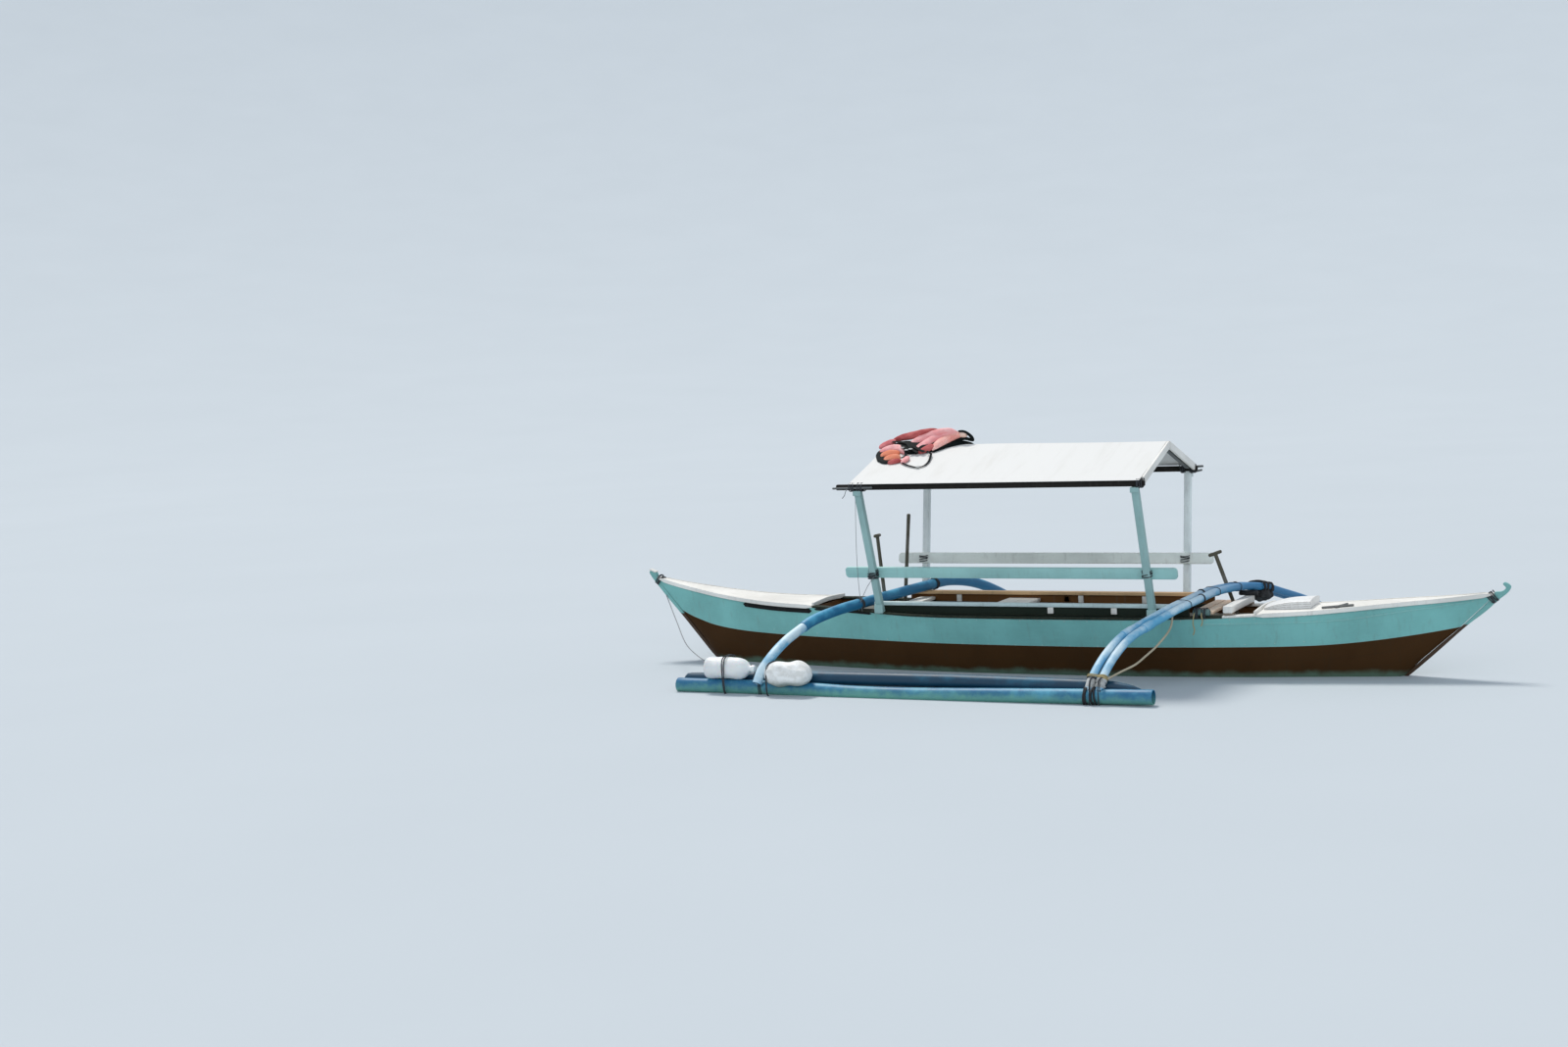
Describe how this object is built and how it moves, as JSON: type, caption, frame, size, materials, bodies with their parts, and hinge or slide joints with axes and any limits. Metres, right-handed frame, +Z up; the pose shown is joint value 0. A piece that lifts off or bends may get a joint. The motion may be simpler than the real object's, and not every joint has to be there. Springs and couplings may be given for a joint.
{
  "type": "outrigger canoe",
  "caption": "Small wooden outrigger canoe with white decks, an open cockpit under a gable canopy, bent booms and pipe floats on both sides.",
  "frame": {"origin": "on the waterline, amidships on the centre line", "axes": "+X towards the bow, +Y to port, +Z up"},
  "size_m": [6.767, 3.2178, 1.9733],
  "materials": {
    "hull_bottom": "red-brown painted wood",
    "topside": "teal painted plywood",
    "deck": "white painted plywood, worn",
    "gunwale": "cream painted wood",
    "frame": "cream painted wood",
    "inside": "brown painted wood",
    "beam": "white painted wood",
    "post": "pale teal painted wood",
    "eave": "dark weathered wood",
    "roof": "white sheet",
    "float": "blue plastic pipe, weathered",
    "boom": "blue plastic pipe",
    "sleeve": "pale plastic pipe",
    "pole": "pale blue plastic pipe",
    "pad": "black rubber",
    "chock": "grey-green painted pole",
    "bottle": "white plastic container",
    "bag": "white plastic bag over floats",
    "paddle": "dark oiled wood",
    "jacket": "padded woven cloth",
    "rope": "laid tan rope",
    "line": "thin grey line"
  },
  "bodies": {
    "root": {"lower_hull": "hull_bottom", "hull_log_aft": "hull_bottom", "hull_log_fore": "hull_bottom", "bilge_plank_port": "hull_bottom", "bilge_plank_starboard": "hull_bottom", "topside_port": "topside", "topside_starboard": "topside", "bow_stem": "topside", "stern_stem": "topside", "aft_deck": "deck", "fore_deck": "deck", "hatch_cover": "deck", "gunwale_port": "gunwale", "gunwale_starboard": "gunwale", "coaming_rail_port": "gunwale", "coaming_rail_starboard": "gunwale", "frame_1": "frame", "frame_2": "frame", "frame_3": "frame", "frame_4": "frame", "floor_board": "inside", "thwart_aft": "inside", "thwart_middle": "inside", "thwart_fore": "inside", "cross_beam": "beam", "end_board_port": "beam", "end_board_starboard": "beam", "post_aft_port": "post", "post_aft_starboard": "post", "post_fore_port": "post", "post_fore_starboard": "post", "side_board_port": "post", "side_board_starboard": "post", "eave_beam_port": "eave", "eave_beam_starboard": "eave", "ridge_beam": "eave", "rafter_aft_port": "eave", "rafter_aft_starboard": "eave", "roof_sheet": "roof", "float_outer_near": "float", "float_inner_near": "float", "float_outer_far": "float", "float_inner_far": "float", "boom_aft": "boom", "boom_aft_sleeve_near": "sleeve", "boom_aft_sleeve_far": "sleeve", "boom_fore_1": "pole", "boom_fore_2": "pole", "boom_pad": "pad", "chock_pole": "chock", "lashed_bottle": "bottle", "lashed_bag": "bag", "paddle_1": "paddle", "paddle_2": "paddle", "paddle_3": "paddle", "life_jacket": "jacket", "boom_rope": "rope", "stern_line": "line"}
  },
  "joints": []
}
